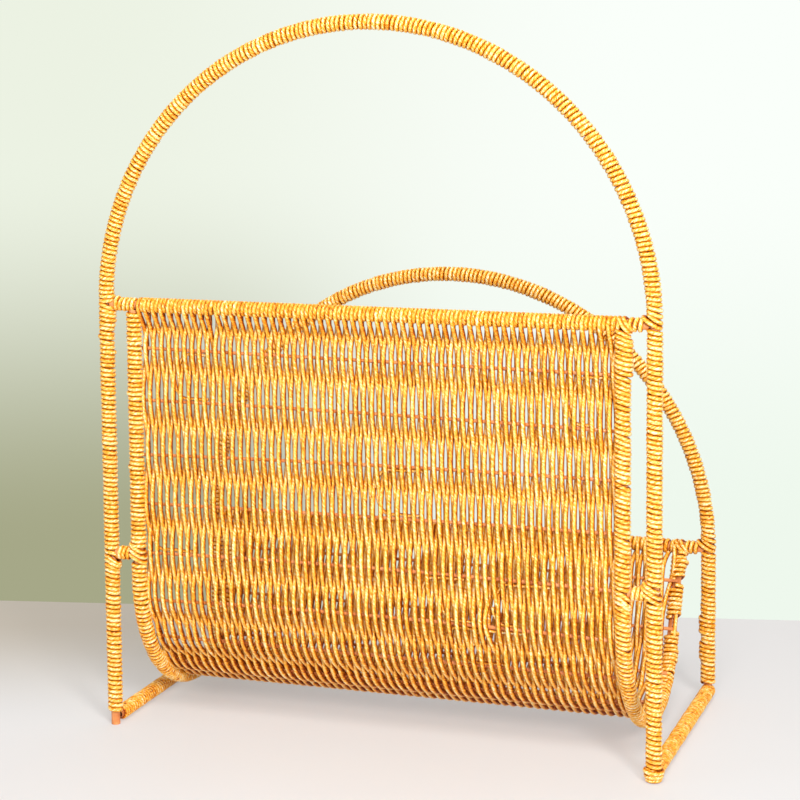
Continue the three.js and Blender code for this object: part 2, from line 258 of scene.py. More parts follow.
# name, place, size and power of each lamp
LAMPS = (
    ("key_lamp", Vector((0.45, -1.3, 1.8)), 0.8, 25.0),
    ("sheen_lamp", Vector((1.15, -1.5, 0.95)), 0.45, 26.0),
    ("fill_lamp", Vector((-1.3, -1.5, 0.7)), 1.3, 6.0),
    ("top_lamp", Vector((0.1, 0.3, 1.9)), 1.1, 5.5),
)
for name, lamp_place, size, power in LAMPS:
    lamp = bpy.data.lights.new(name, "AREA")
    lamp.shape = "DISK"
    lamp.size = size
    lamp.energy = power
    lamp_turn = (AIM - lamp_place).to_track_quat("-Z", "Y").to_matrix().to_4x4()
    add_object(name, lamp).matrix_world = Matrix.Translation(lamp_place) @ lamp_turn


# The steel frame: two hoops, two top rods, two side rails bent like a J, two base bars and two stubs. All are
# of one round rod, butted, welded and painted salmon. It shows at the joints and at the left front foot.
ROD_ROUNDNESS = 20
BEND_STEP = math.radians(3)
MERGE_REACH = 0.01 * MM
rod_low, rod_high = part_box("front_top_rod")
ROD_RADIUS = (rod_high.z - rod_low.z) / 2
FRONT_Y = (rod_low.y + rod_high.y) / 2
FRONT_TOP = (rod_low.z + rod_high.z) / 2
rod_low, rod_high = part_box("rear_top_rod")
REAR_Y = (rod_low.y + rod_high.y) / 2
REAR_TOP = (rod_low.z + rod_high.z) / 2
LEG_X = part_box("front_hoop_rod")[1].x - ROD_RADIUS
RAIL_X = (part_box("right_side_rail")[0].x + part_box("right_side_rail")[1].x) / 2
RAIL_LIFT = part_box("right_side_rail")[0].z + ROD_RADIUS
FRONT_BEND = 96 * MM
REAR_BEND = 60 * MM
WELD_GAP = 0.3 * MM
X = Vector((1, 0, 0))
Y = Vector((0, 1, 0))
Z = Vector((0, 0, 1))

steel_material, steel_shader, value = new_material("painted_steel")
place = value.node("ShaderNodeTexCoord", {}, {}, output="Object")
blotches = value.node("ShaderNodeTexNoise", {}, {"Vector": place, "Scale": 90.0, "Detail": 4.0})
specks = value.node("ShaderNodeTexNoise", {}, {"Vector": place, "Scale": 900.0, "Detail": 2.0})
paint = value.node(
    "ShaderNodeValToRGB",
    {"stops": [(0.3, shade(200, 116, 58)), (0.5, shade(234, 151, 90)), (0.7, shade(246, 178, 120))]},
    {0: blotches},
)
paint.feed(steel_shader.inputs["Base Color"])
(specks * 0.2 + 0.3).feed(steel_shader.inputs["Roughness"])
value.node("ShaderNodeBump", {}, {"Height": specks, "Strength": 0.15, "Distance": 0.0003}).feed(
    steel_shader.inputs["Normal"]
)
steel_shader.inputs["Specular IOR Level"].default_value = 0.3
steel_shader.inputs["Coat Weight"].default_value = 0.2


def finish_piece(piece, material, slot, *replaced):
    """Gives a piece its material and its body, shades it smooth, and hides the nodes that it stands for."""
    for polygon in piece.data.polygons:
        polygon.use_smooth = True
    piece.data.materials.append(material)
    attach(piece, "root")
    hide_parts(*replaced)
    return piece


def steel_piece(name, shape, replaced):
    bmesh.ops.remove_doubles(shape, verts=shape.verts, dist=MERGE_REACH)
    bmesh.ops.recalc_face_normals(shape, faces=shape.faces)
    mesh = bpy.data.meshes.new(name)
    shape.to_mesh(mesh)
    shape.free()
    return finish_piece(add_object(name, mesh), steel_material, "painted_steel", replaced)


def bent_rod(start, heading, moves, radius=ROD_RADIUS):
    """A round rod from start along heading. A move is a straight length, or a bend's inward side, radius and
    angle, or a step as a vector."""
    shape = bmesh.new()
    disc = bmesh.ops.create_circle(shape, cap_ends=True, segments=ROD_ROUNDNESS, radius=radius)
    turned = Matrix.Translation(start) @ heading.to_track_quat("Z", "X").to_matrix().to_4x4()
    bmesh.ops.transform(shape, matrix=turned, verts=disc["verts"])
    face = disc["verts"][0].link_faces[0]
    heading = heading.copy()
    point = start.copy()
    for move in moves:
        if isinstance(move, tuple):
            inward, bend, angle = move
            centre = point + inward * bend
            axis = heading.cross(inward)
            result = bmesh.ops.spin(
                shape,
                geom=[face],
                cent=centre,
                axis=axis,
                angle=angle,
                steps=max(2, round(angle / BEND_STEP)),
                use_duplicate=False,
            )
            face = [item for item in result["geom_last"] if isinstance(item, bmesh.types.BMFace)][0]
            point = centre + Matrix.Rotation(angle, 3, axis) @ (-inward * bend)
            heading = Matrix.Rotation(angle, 3, axis) @ heading
        else:
            step = move if isinstance(move, Vector) else heading * move
            result = bmesh.ops.extrude_face_region(shape, geom=[face])
            corners = [item for item in result["geom"] if isinstance(item, bmesh.types.BMVert)]
            bmesh.ops.translate(shape, vec=step, verts=corners)
            bmesh.ops.delete(shape, geom=[face], context="FACES_ONLY")
            face = [item for item in result["geom"] if isinstance(item, bmesh.types.BMFace)][0]
            point = point + step
    return shape


HOOPS = (("front", FRONT_Y, FRONT_TOP, 0), ("rear", REAR_Y, REAR_TOP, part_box("rear_hoop_rod")[0].z))
for name, plane, spring, foot in HOOPS:
    leg = spring - foot
    hoop_rod = bent_rod(Vector((-LEG_X, plane, foot)), Z, [leg, (X, LEG_X, math.pi), leg])
    steel_piece(f"{name}_hoop", hoop_rod, f"{name}_hoop_rod")
    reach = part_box(f"{name}_top_rod")[1].x
    top_rod = bent_rod(Vector((-reach, plane, spring)), X, [2 * reach])
    steel_piece(f"{name}_top_bar", top_rod, f"{name}_top_rod")

REAR_REACH = REAR_Y - FRONT_Y - FRONT_BEND
REAR_RISE = REAR_TOP - RAIL_LIFT - REAR_BEND
REAR_SPAN = math.hypot(REAR_REACH, REAR_RISE)
SLANT = math.sqrt(REAR_SPAN**2 - REAR_BEND**2)
REAR_TURN = math.pi / 2 + math.atan2(REAR_RISE, REAR_REACH) - math.acos(REAR_BEND / REAR_SPAN)
UPRIGHT = FRONT_TOP - RAIL_LIFT - FRONT_BEND
FRONT_ARC = FRONT_BEND * math.pi / 2
REAR_ARC = REAR_BEND * REAR_TURN
RAIL_LENGTH = UPRIGHT + FRONT_ARC + REAR_ARC + SLANT
ROD_BUTT = ROD_RADIUS + WELD_GAP  # from a rod's centreline to the end of a rod welded to its side
RAIL_MOVES = (
    UPRIGHT - ROD_BUTT,
    (Y, FRONT_BEND, math.pi / 2),
    (Z, REAR_BEND, REAR_TURN),
    SLANT - ROD_BUTT,
)
for name, side in (("left", -1), ("right", 1)):
    rail_rod = bent_rod(Vector((side * RAIL_X, FRONT_Y, FRONT_TOP - ROD_BUTT)), -Z, RAIL_MOVES)
    steel_piece(f"{name}_rail", rail_rod, f"{name}_side_rail")
    low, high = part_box(f"{name}_base_bar")
    bar_rod = bent_rod(Vector((side * LEG_X, low.y, (low.z + high.z) / 2)), Y, [high.y - low.y])
    steel_piece(f"{name}_bar", bar_rod, f"{name}_base_bar")
    low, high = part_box(f"{name}_rail_stub")
    STUB_HEIGHT = (low.z + high.z) / 2
    stub_rod = bent_rod(Vector((low.x, FRONT_Y, STUB_HEIGHT)), X, [high.x - low.x])
    steel_piece(f"{name}_stub", stub_rod, f"{name}_rail_stub")

# The wires under the weave: thin rods of the same painted steel, welded across the inner side of the rails by
# hand, so that the upper six lie a little high or low, and bow.
WIRES = sorted(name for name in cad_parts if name.startswith("sling_wire"))
WIRE_SPACING = 35.1 * MM
wire_low, wire_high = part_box(WIRES[0])
WIRE_RADIUS = (wire_high.z - wire_low.z) / 2
SLING_INSET = ROD_BUTT + WIRE_RADIUS  # from a rail's line to the wires
WIRE_STEPS = 12
# how far along the sling, in mm, the upper wires lie from their even places: left, middle and right
WIRE_DROPS = (
    (-4.1, -2.4, -0.6),
    (-2.3, -1.5, 1.4),
    (1.6, -1.2, -1.0),
    (1.3, -0.5, -0.8),
    (1.6, -0.2, 2.5),
    (2.2, -0.7, 3.0),
)


def rail_place(length):
    """A rail's y and z, and how far it has turned from straight down, at a length from the front top rod."""
    if length <= UPRIGHT:
        return FRONT_Y, FRONT_TOP - length, 0
    if length <= UPRIGHT + FRONT_ARC:
        turn = (length - UPRIGHT) / FRONT_BEND
        y = FRONT_Y + FRONT_BEND * (1 - math.cos(turn))
        return y, RAIL_LIFT + FRONT_BEND * (1 - math.sin(turn)), turn
    turn = math.pi / 2 + min((length - UPRIGHT - FRONT_ARC) / REAR_BEND, REAR_TURN)
    past = max(length - RAIL_LENGTH + SLANT, 0)
    y = FRONT_Y + FRONT_BEND - REAR_BEND * math.cos(turn) + past * math.sin(turn)
    return y, RAIL_LIFT + REAR_BEND * (1 - math.sin(turn)) - past * math.cos(turn), turn


def sling_point(x, length, inset):
    """A point beside a rail's line, towards the inside of the sling, and the way inwards."""
    y, z, turn = rail_place(length)
    inward = Vector((0, math.cos(turn), math.sin(turn)))
    return Vector((x, y, z)) + inward * inset, inward


def wire_length(index, x):
    """Where a wire lies along the sling at x."""
    left, middle, right = WIRE_DROPS[index] if index < len(WIRE_DROPS) else (0, 0, 0)
    across = x / RAIL_X
    drop = middle + (right - left) / 2 * across + ((left + right) / 2 - middle) * across**2
    return WIRE_SPACING * (index + 1) + drop * MM


for index, name in enumerate(WIRES):
    wire_x = [wire_low.x + (wire_high.x - wire_low.x) * step / WIRE_STEPS for step in range(WIRE_STEPS + 1)]
    points = [sling_point(x, wire_length(index, x), SLING_INSET)[0] for x in wire_x]
    steps = [b - a for a, b in zip(points, points[1:])]
    wire = bent_rod(points[0], X, steps, radius=WIRE_RADIUS)
    steel_piece(name.replace("sling_", "cross_"), wire, name)

# The wound cord: twisted paper cord, lightly waxed, bound round every rod with its turns side by side. Each
# rod has its own length of cord, laid on under tension and tucked in at the ends.
CORD_RADIUS = 1.65 * MM
CORD_RISE = 0.75 * MM  # from a rod's surface to the centre of its cord, which is pressed flat on it
WIND_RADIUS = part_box("front_top_rod")[1].z - FRONT_TOP + CORD_RISE
WOUND_RADIUS = WIND_RADIUS + CORD_RADIUS
TIGHT_RADIUS = WIND_RADIUS - 0.6 * MM  # the short cords of the crosswise rods are pulled tighter
TURN_PITCH = 3.25 * MM
TURN_POINTS = 18
CORD_ROUNDNESS = 3
CORD_SIDES = 2 * (CORD_ROUNDNESS + 2)
PITCH_JITTER_SHARE = 0.045
LIFT_JITTER = 0.12 * MM
# how sharply the painted shade darkens a sling strand towards its sides
STRAND_CONTRAST = 1.3
LAY = 11 * MM  # length of cord in one twist
CORD_SEED = 58
rng = random.Random(CORD_SEED)

cord_material, cord_shader, value = new_material("paper_cord")
cord_lay = value.node("ShaderNodeUVMap", {"uv_map": "UVMap"}, {})
run, round_it = [value.node("ShaderNodeSeparateXYZ", {}, {0: cord_lay}, output=axis) for axis in ("X", "Y")]
spiral = (run / LAY + round_it) * (2 * math.pi)


def twisted_noise(width, length, scale, detail):
    """Noise that follows the cord's twist, finer the greater its width and length."""
    sockets = {0: spiral.maths("COSINE") * width, 1: spiral.maths("SINE") * width, 2: run * length}
    twisted = value.node("ShaderNodeCombineXYZ", {}, sockets)
    sockets = {"Vector": twisted, "Scale": scale, "Detail": detail, "Roughness": 0.6}
    return value.node("ShaderNodeTexNoise", {}, sockets)


patches = twisted_noise(1.0, 260.0, 1.5, 3.0)
fibres = twisted_noise(1.3, 420.0, 2.2, 4.0)
length_tone = value.node(
    "ShaderNodeTexNoise", {"noise_dimensions": "1D"}, {"W": run * 14.0, "Scale": 1.0, "Detail": 2.0}
)
# Painted light, made in cord_piece: high where a cord faces out, low in the grooves between turns and at the
# strands' sides.
exposed = value.node("ShaderNodeAttribute", {"attribute_name": "exposed"}, {}, output="Fac")
mottle = (patches - 0.5) * 1.2 + (fibres - 0.5) * 1.5 + (length_tone - 0.5) * 0.4
painted_crest_light = exposed.maths("POWER", 1.45)
# The ramp turns the painted light into colour: its low stops are painted shade in the grooves and at the
# strands' sides, its high ones a painted highlight on the crests. The mottle on top is the paper's own tone.
cord_tone = value.node(
    "ShaderNodeValToRGB",
    {
        "stops": [
            (0.0, shade(112, 34, 0)),
            (0.20, shade(206, 102, 4)),
            (0.44, shade(247, 164, 20)),
            (0.66, shade(254, 206, 90)),
            (0.88, shade(255, 250, 216)),
        ]
    },
    {0: painted_crest_light * 0.69 + mottle},
)
cord_tone.feed(cord_shader.inputs["Base Color"])
(fibres * 0.3 + 0.35).feed(cord_shader.inputs["Roughness"])
(painted_crest_light * patches).feed(cord_shader.inputs["Coat Weight"])
roughened = patches * 0.5 + fibres
value.node("ShaderNodeBump", {}, {"Height": roughened, "Strength": 0.5, "Distance": 0.0004}).feed(
    cord_shader.inputs["Normal"]
)
cord_shader.inputs["Specular IOR Level"].default_value = 0.1
cord_shader.inputs["Coat Roughness"].default_value = 0.3
cord_shader.inputs["Coat IOR"].default_value = 1.6


class Cord:
    """The route of one cord: its centre points, and at each point the side that faces out."""

    def __init__(self, radius):
        self.radius = radius
        self.points = []
        self.outward = []
        self.both_sides = []

    def add(self, point, outward, both=False):
        self.points.append(point)
        self.outward.append(outward.normalized())
        self.both_sides.append(both)


def cord_piece(name, cords, *replaced, painted_crest_light=1.0):
    """One piece of round cords along their routes. Its UV map runs along and round each cord, in metres and
    turns. Its attribute is painted light: how far a wound cord faces out, times the crest factor, or a strand
    to either side. It gives a painted highlight on the crests and painted shade in grooves and at strands'
    sides."""
    curve = bpy.data.curves.new(name, "CURVE")
    curve.dimensions = "3D"
    curve.bevel_depth = 1
    curve.bevel_resolution = CORD_ROUNDNESS
    for cord in cords:
        spline = curve.splines.new("POLY")
        spline.points.add(len(cord.points) - 1)
        spline.points.foreach_set("co", [part for point in cord.points for part in (*point, 1)])
        spline.points.foreach_set("radius", [cord.radius] * len(cord.points))
    source = add_object(name, curve)
    bpy.context.view_layer.update()
    mesh = bpy.data.meshes.new_from_object(source.evaluated_get(bpy.context.evaluated_depsgraph_get()))
    bpy.data.objects.remove(source)

    centres = np.array([point for cord in cords for point in cord.points])
    outward = np.array([side for cord in cords for side in cord.outward])
    both = np.array([flag for cord in cords for flag in cord.both_sides])
    radii = np.concatenate([np.full(len(cord.points), cord.radius) for cord in cords])
    corners = np.zeros(len(mesh.vertices) * 3)
    mesh.vertices.foreach_get("co", corners)
    corners = corners.reshape(-1, CORD_SIDES, 3)
    facing = np.einsum("rsc,rc->rs", corners - centres[:, None], outward) / radii[:, None]
    exposed = np.where(both[:, None], abs(facing) ** STRAND_CONTRAST, painted_crest_light * np.clip(facing, 0, 1))
    attribute = mesh.attributes.new("exposed", "FLOAT", "POINT")
    attribute.data.foreach_set("value", exposed.reshape(-1))

    lengths = []
    for cord in cords:
        steps = [0.0] + [(b - a).length for a, b in zip(cord.points, cord.points[1:])]
        lengths.append(np.cumsum(steps) + rng.uniform(0, 5))
    lengths = np.concatenate(lengths)
    loop_corners = np.zeros(len(mesh.loops), dtype=int)
    mesh.loops.foreach_get("vertex_index", loop_corners)
    places = np.zeros(len(mesh.loops) * 2)
    mesh.uv_layers[0].data.foreach_get("uv", places)
    places = places.reshape(-1, 2)
    places[:, 0] = lengths[loop_corners // CORD_SIDES]
    mesh.uv_layers[0].data.foreach_set("uv", places.reshape(-1))
    shape = bmesh.new()
    shape.from_mesh(mesh)
    bmesh.ops.holes_fill(shape, edges=shape.edges, sides=CORD_SIDES)
    shape.to_mesh(mesh)
    shape.free()
    return finish_piece(add_object(name, mesh), cord_material, "paper_cord", *replaced)


def straight(start, heading):
    """Gives, for a length along a straight rod, its centre and two directions across it."""
    side = Y if abs(heading.y) < 1 / 2 else Z
    other = heading.cross(side)

    def place(length):
        return start + heading * length, side, other

    return place


def arch(plane, spring):
    centre = Vector((0, plane, spring))

    def place(length):
        angle = length / LEG_X
        out = Vector((-math.cos(angle), 0, math.sin(angle)))
        heading = Vector((math.sin(angle), 0, math.cos(angle)))
        return centre + out * LEG_X, Y, heading.cross(Y)

    return place


def rail(side):
    def place(length):
        centre, inward = sling_point(side * RAIL_X, length, 0)
        return centre, inward, X

    return place


WELD_REACH = 9.0 * MM  # along a rod, how far a weld beside it pushes the turns aside
WELD_STEP = 1.0 * MM
LEAN_REACH = 6.0 * MM
BULGE_EDGE = 2.0 * MM
TO_BACK = 0  # where a cord starts and ends round a crosswise rod or a rail
TO_LEFT = math.pi / 2  # and round an upright rod
TO_RIGHT = math.pi * 3 / 2


def smooth(share):
    share = min(max(share, 0), 1)
    return share * share * (3 - 2 * share)


def wind(
    place, start, end, tuck=None, hand=-1, radius=WIND_RADIUS, lean=0.0, last_lean=0.0, welds=(), bulges=()
):
    """A cord wound round a rod from one length to another, both ends at the same side. Its turns vary a
    little in pitch and in lift, and lean: their +X side lies further along. At a weld, a length with a push
    before and after it, that side is moved away. A bulge, from one length to another, lifts the turns on
    one side."""
    cord = Cord(CORD_RADIUS)
    turns = max(1, round((end - start - 2 * CORD_RADIUS) / TURN_PITCH))
    shifts = [0.0] + [rng.gauss(0, PITCH_JITTER_SHARE) for _ in range(turns - 1)] + [0.0]
    lifts = [rng.gauss(0, LIFT_JITTER) for _ in range(turns + 1)]
    first = rng.uniform(0, 2 * math.pi) if tuck is None else tuck
    step = (end - start - 2 * CORD_RADIUS) / turns
    for index in range(turns * TURN_POINTS + 1):
        turn = min(index // TURN_POINTS, turns - 1)
        part = index / TURN_POINTS - turn
        shift = shifts[turn] * (1 - part) + shifts[turn + 1] * part
        lift = lifts[turn] * (1 - part) + lifts[turn + 1] * part
        length = start + CORD_RADIUS + (turn + part + shift) * step
        side, other = place(length)[1:]
        angle = first + hand * 2 * math.pi * (turn + part)
        out = side * math.cos(angle) + other * math.sin(angle)
        along = (lean + last_lean * math.exp((length - end) / LEAN_REACH)) * out.x
        for weld, before, after in welds:
            past = length - weld
            push = after if past > 0 else before
            along += push * math.tanh(past / WELD_STEP) * math.exp(-abs(past) / WELD_REACH) * max(out.x, 0)
        for bulge_start, bulge_end, bulge_side, swell in bulges:
            inside = smooth((length - bulge_start) / BULGE_EDGE) * smooth((bulge_end - length) / BULGE_EDGE)
            lift += swell * inside * max(out.dot(bulge_side), 0)
        cord.add(place(length + along)[0] + out * (radius + lift), out)
    return cord


def slant_turn(centre, slope, half, depth):
    """One turn laid slantwise over a joint, down to the right: half its length lies along the slope."""
    cord = Cord(CORD_RADIUS)
    along = Vector((math.cos(slope), 0, -math.sin(slope)))
    for index in range(TURN_POINTS + 1):
        angle = 2 * math.pi * index / TURN_POINTS
        out = Y * math.cos(angle) * depth + along * math.sin(angle) * half
        cord.add(centre + out, out)
    return cord


# The arches' cords. One length runs over each arch, from weld to weld of the top rod. Its turns are pushed
# apart at the left weld and lean at the right one, where one more turn is laid slantwise over the joint.
ARCH_LENGTH = math.pi * LEG_X
ARCH_START = -0.5 * MM
ARCH_END_GAP = 0.4 * MM
ARCH_LAST_LEAN = 4.5 * MM
ARCH_WELD = (-3.0 * MM, 0, 2.6 * MM)
ARCH_BULGE = (-4.0 * MM, 8.0 * MM, X, 1.3 * MM)
JOINT_INSET = 2.1 * MM  # a slant turn's centre lies this far to the left of its leg's
ARCH_SLANT = math.radians(31)
ARCH_SLANT_RISE = 1.6 * MM
ARCH_SLANT_HALF = WIND_RADIUS + 2.5 * MM
ARCH_SLANT_DEPTH = WIND_RADIUS + 0.4 * MM
for name, plane, spring, foot in HOOPS:
    cord = wind(
        arch(plane, spring),
        ARCH_START,
        ARCH_LENGTH - ARCH_END_GAP,
        TO_RIGHT,
        last_lean=ARCH_LAST_LEAN,
        welds=[ARCH_WELD],
        bulges=[ARCH_BULGE],
    )
    centre = Vector((LEG_X - JOINT_INSET, plane, spring + ARCH_SLANT_RISE))
    last_turn = slant_turn(centre, ARCH_SLANT, ARCH_SLANT_HALF, ARCH_SLANT_DEPTH)
    cord_piece(f"{name}_arch_cord", [cord, last_turn], f"{name}_arch_binding")

# The legs' cords, from the foot to the top rod. On the left legs the turns are pushed down beside the welds
# of stub and top rod. The right front leg has a cord below its stub and one above, with turns laid slantwise
# over the weld between them, and more turns wrap its foot.
LEFT_TOP = 3.3 * MM  # how far above the top rod's centre the left legs' cords end
LEFT_TOP_WELD = (3.0 * MM, 3.0 * MM, 0)  # above the top rod's centre
LEFT_STUB_WELD = (STUB_HEIGHT, 7.0 * MM, 0.5 * MM)
RIGHT_TOP_GAP = 1.8 * MM
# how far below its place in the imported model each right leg's cord starts
RIGHT_FOOT_WRAP = {"front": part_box("right_front_leg_binding")[0].z - 0.6 * MM, "rear": 1.5 * MM}
RIGHT_LEAN = {"front": -0.4 * MM, "rear": -0.3 * MM}
STUB_BELOW = 4.6 * MM  # from the stub's centre down to the lower cord
STUB_ABOVE = 3.8 * MM
STUB_SLANT = math.radians(30)
STUB_SLANT_DEPTH = WIND_RADIUS + 0.6 * MM
# rise above the stub's centre, and reach, of the turns over the right stub's weld
STUB_SLANTS = ((4.9 * MM, 1.2 * MM), (1.7 * MM, 2.9 * MM), (-1.9 * MM, 2.9 * MM))
# height in mm, slope in degrees and swell in mm of the turns that wrap the right front foot
FOOT_TURNS = ((1.8, 0, 0.2), (4.3, 2, 1.1), (7.2, 5, 1.7))
LEG_BULGES = {
    ("left", "front"): [
        (286 * MM, 307 * MM, X, 1.6 * MM),
        (277 * MM, 282 * MM, -X, 1.0 * MM),
        (266 * MM, 271 * MM, X, 1.4 * MM),
        (STUB_HEIGHT - 9 * MM, STUB_HEIGHT - 1 * MM, X, 1.5 * MM),
    ],
    ("right", "rear"): [(28 * MM, 43 * MM, -X, 1.2 * MM), (47 * MM, 63 * MM, -X, 1.5 * MM)],
}
for name, side in (("left", -1), ("right", 1)):
    for hoop, plane, spring, foot in HOOPS:
        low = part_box(f"{name}_{hoop}_leg_binding")[0]
        leg_line = straight(Vector((side * LEG_X, plane, 0)), Z)
        bulges = LEG_BULGES.get((name, hoop), [])
        if name == "left":
            weld_rise, before, after = LEFT_TOP_WELD
            welds = [(spring + weld_rise, before, after)]
            if hoop == "front":
                welds.append(LEFT_STUB_WELD)
            cords = [wind(leg_line, low.z, spring + LEFT_TOP, TO_RIGHT, welds=welds, bulges=bulges)]
        else:
            bottom = low.z - RIGHT_FOOT_WRAP[hoop]
            top = spring - RIGHT_TOP_GAP
            spans = [(bottom, top)]
            if hoop == "front":
                spans = [(bottom, STUB_HEIGHT - STUB_BELOW), (STUB_HEIGHT + STUB_ABOVE, top)]
            cords = [wind(leg_line, *span, TO_LEFT, lean=RIGHT_LEAN[hoop], bulges=bulges) for span in spans]
        if (name, hoop) == ("right", "front"):
            for rise, reach in STUB_SLANTS:
                centre = Vector((LEG_X - JOINT_INSET, plane, STUB_HEIGHT + rise))
                cords.append(slant_turn(centre, STUB_SLANT, WIND_RADIUS + reach, STUB_SLANT_DEPTH))
            for height, slope, swell in FOOT_TURNS:
                centre = Vector((LEG_X, plane, height * MM))
                half = WIND_RADIUS + swell * MM
                cords.append(slant_turn(centre, math.radians(slope), half, half))
        cord_piece(f"{name}_{hoop}_leg_cord", cords, f"{name}_{hoop}_leg_binding")

# The rod ends' cords: short, tight ones on the top rods, between leg and rail. At the right ones two turns
# lie slantwise over the joint of rod and rail.
ROD_ENDS = {"left": [(-189.2, -170.6)], "right": [(175.7, 189.5), (165.2, 174.9)]}
ROD_END_BULGE = (-191.5 * MM, -184.5 * MM, Z, 2.4 * MM)  # the first turn stands up beside the left legs
ROD_SLANT = math.radians(52)
# in mm: place to the right of the rail, rise, reach along the slope and lift off the rod
ROD_SLANTS = ((1.0, -0.7, 1.9, 0.7), (3.6, 0.3, 0.6, 0.0))
for hoop, plane, spring, foot in HOOPS:
    for name, spans in ROD_ENDS.items():
        rod_line = straight(Vector((0, plane, spring)), X)
        cords = [
            wind(rod_line, start * MM, end * MM, TO_BACK, radius=TIGHT_RADIUS, bulges=[ROD_END_BULGE])
            for start, end in spans
        ]
        if name == "right":
            for across, rise, reach, lift in ROD_SLANTS:
                centre = Vector((RAIL_X + across * MM, plane, spring + rise * MM))
                cords.append(slant_turn(centre, ROD_SLANT, WIND_RADIUS + reach * MM, WIND_RADIUS + lift * MM))
        cord_piece(f"{name}_{hoop}_rod_end_cord", cords, f"{name}_{hoop}_rod_end_binding")

# The cords of the base bars, wound the other way, with painted shade: their crests get less painted light
# than the rest, so they are darker and less coated. And the cords of the stubs, which run from the rail's
# cord to the leg's.
BAR_WIND_RADIUS = WIND_RADIUS - 0.25 * MM
BAR_PAINTED_CREST_LIGHT = 0.93
STUB_LAP = 1.4 * MM  # how far a stub's cord goes in among the turns at either end
for name, side in (("left", -1), ("right", 1)):
    low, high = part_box(f"{name}_base_bar_binding")
    bar_line = straight(Vector((side * LEG_X, 0, (low.z + high.z) / 2)), Y)
    bar_cord = wind(bar_line, low.y, high.y, hand=1, radius=BAR_WIND_RADIUS)
    cord_piece(f"{name}_bar_cord", [bar_cord], f"{name}_base_bar_binding", painted_crest_light=BAR_PAINTED_CREST_LIGHT)
    stub_line = straight(Vector((0, FRONT_Y, STUB_HEIGHT)), X)
    ends = sorted((side * (RAIL_X + WOUND_RADIUS - STUB_LAP), side * (LEG_X - WOUND_RADIUS + STUB_LAP)))
    stub_cord = wind(stub_line, *ends, TO_BACK, radius=TIGHT_RADIUS)
    cord_piece(f"{name}_stub_cord", [stub_cord], f"{name}_stub_binding")

# The rails' cords. Every wire's weld parts the turns, and at the left stub turns slant over the weld as on
# the legs. The right rail's cord is in three lengths, and a strand crosses the gap between two of them.
STUB_LENGTH = FRONT_TOP - STUB_HEIGHT
# in mm: lean, push before and after a weld, and the lengths between which the cord is wound
RAIL_TURNS = {
    "left": (-0.3, 0.3, 0.6, [(3.8, 174.0), (181.6, 478.8)]),
    "right": (0.7, 0.0, 1.9, [(2.0, 420.5), (428.5, 454.8), (455.8, 479.2)]),
}
RAIL_WELDS = {"left": [], "right": [(0.0, 0, 3.6 * MM), (STUB_LENGTH, 0, 4.6 * MM)]}
RAIL_BULGES = {
    "left": [
        (60 * MM, 65 * MM, -X, 1.0 * MM),
        (111 * MM, 116 * MM, -X, 0.9 * MM),
        (210 * MM, 215 * MM, X, 1.8 * MM),
    ],
    "right": [
        (8 * MM, 34 * MM, X, 1.5 * MM),
        (396 * MM, 408 * MM, X, 1.0 * MM),
        (466 * MM, 473 * MM, X, 2.0 * MM),
    ],
}
RAIL_SLANTS = ((4.4 * MM, 1.3 * MM), (0.9 * MM, 2.4 * MM), (-2.6 * MM, 2.4 * MM))
RAIL_SLANT_DEPTH = WIND_RADIUS + 0.5 * MM
RAIL_JOINT_INSET = 0.9 * MM
CROSSING_LENGTHS = (416, 420, 424, 428, 432)
CROSSING_INWARD = 0.8
CROSSING_RIGHT = 0.6
for name, side in (("left", -1), ("right", 1)):
    lean, before, after, spans = RAIL_TURNS[name]
    welds = [(wire_length(index, side * RAIL_X), before * MM, after * MM) for index in range(len(WIRES))]
    welds += RAIL_WELDS[name]
    bulges = RAIL_BULGES[name]
    cords = [
        wind(rail(side), start * MM, end * MM, TO_BACK, lean=lean * MM, welds=welds, bulges=bulges)
        for start, end in spans
    ]
    if name == "left":
        for rise, reach in RAIL_SLANTS:
            centre = Vector((-RAIL_X - RAIL_JOINT_INSET, FRONT_Y, STUB_HEIGHT + rise))
            cords.append(slant_turn(centre, STUB_SLANT, WIND_RADIUS + reach, RAIL_SLANT_DEPTH))
    else:
        crossing = Cord(CORD_RADIUS)
        for length in CROSSING_LENGTHS:
            centre, inward = sling_point(RAIL_X, length * MM, 0)
            out = (inward * CROSSING_INWARD + X * CROSSING_RIGHT).normalized()
            crossing.add(centre + out * WIND_RADIUS, out)
        cords.append(crossing)
    cord_piece(f"{name}_rail_cord", cords, f"{name}_rail_binding")

# The sling: one thin cord goes up and down between the top rods, with two turns round each, and lies over
# and under the wires in turn, so that neighbours pass each wire on opposite sides. Loose ends lie along
# some of the wires.
STRAND_RADIUS = 1.7 * MM
STRAND_PRESS = 0.1 * MM
SWING = WIRE_RADIUS + STRAND_RADIUS - STRAND_PRESS
HEAD_RADIUS = ROD_RADIUS + 0.5 * MM  # the strands' turns are pressed flat on the rods
PAIR_PITCH = 5.75 * MM
sling_low, sling_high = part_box("front_sling_panel")
PAIRS = round((sling_high.x - sling_low.x) / PAIR_PITCH)
FIRST_X = -RAIL_X + 7.7 * MM  # the rear strand of the first pair
LAST_X = RAIL_X - 6.3 * MM  # and of the last
STRAND_GAP = (LAST_X - FIRST_X) / (PAIRS - 1) / 2
EDGE_SQUEEZE = 0.8 * MM  # the first strand of all lies against the left rail's cord
HEAD_LEAN = 0.15 * MM  # how far the middle strands hang from the left of their place in the weave
HEAD_FAN = 3  # the strands beside the left rail hang from this many leans more, beside the right one fewer
HEAD_LENGTH = 30 * MM
HEAD_ADVANCE = 1.5 * STRAND_GAP
HEAD_POINTS = 14  # in a turn
HEAD_PAINTED_CREST_LIGHT = 0.88  # painted shade: the turns on the top rods get less painted light on their crests, so they are darker and less coated
FIRST_ROW_POWER = 1.45
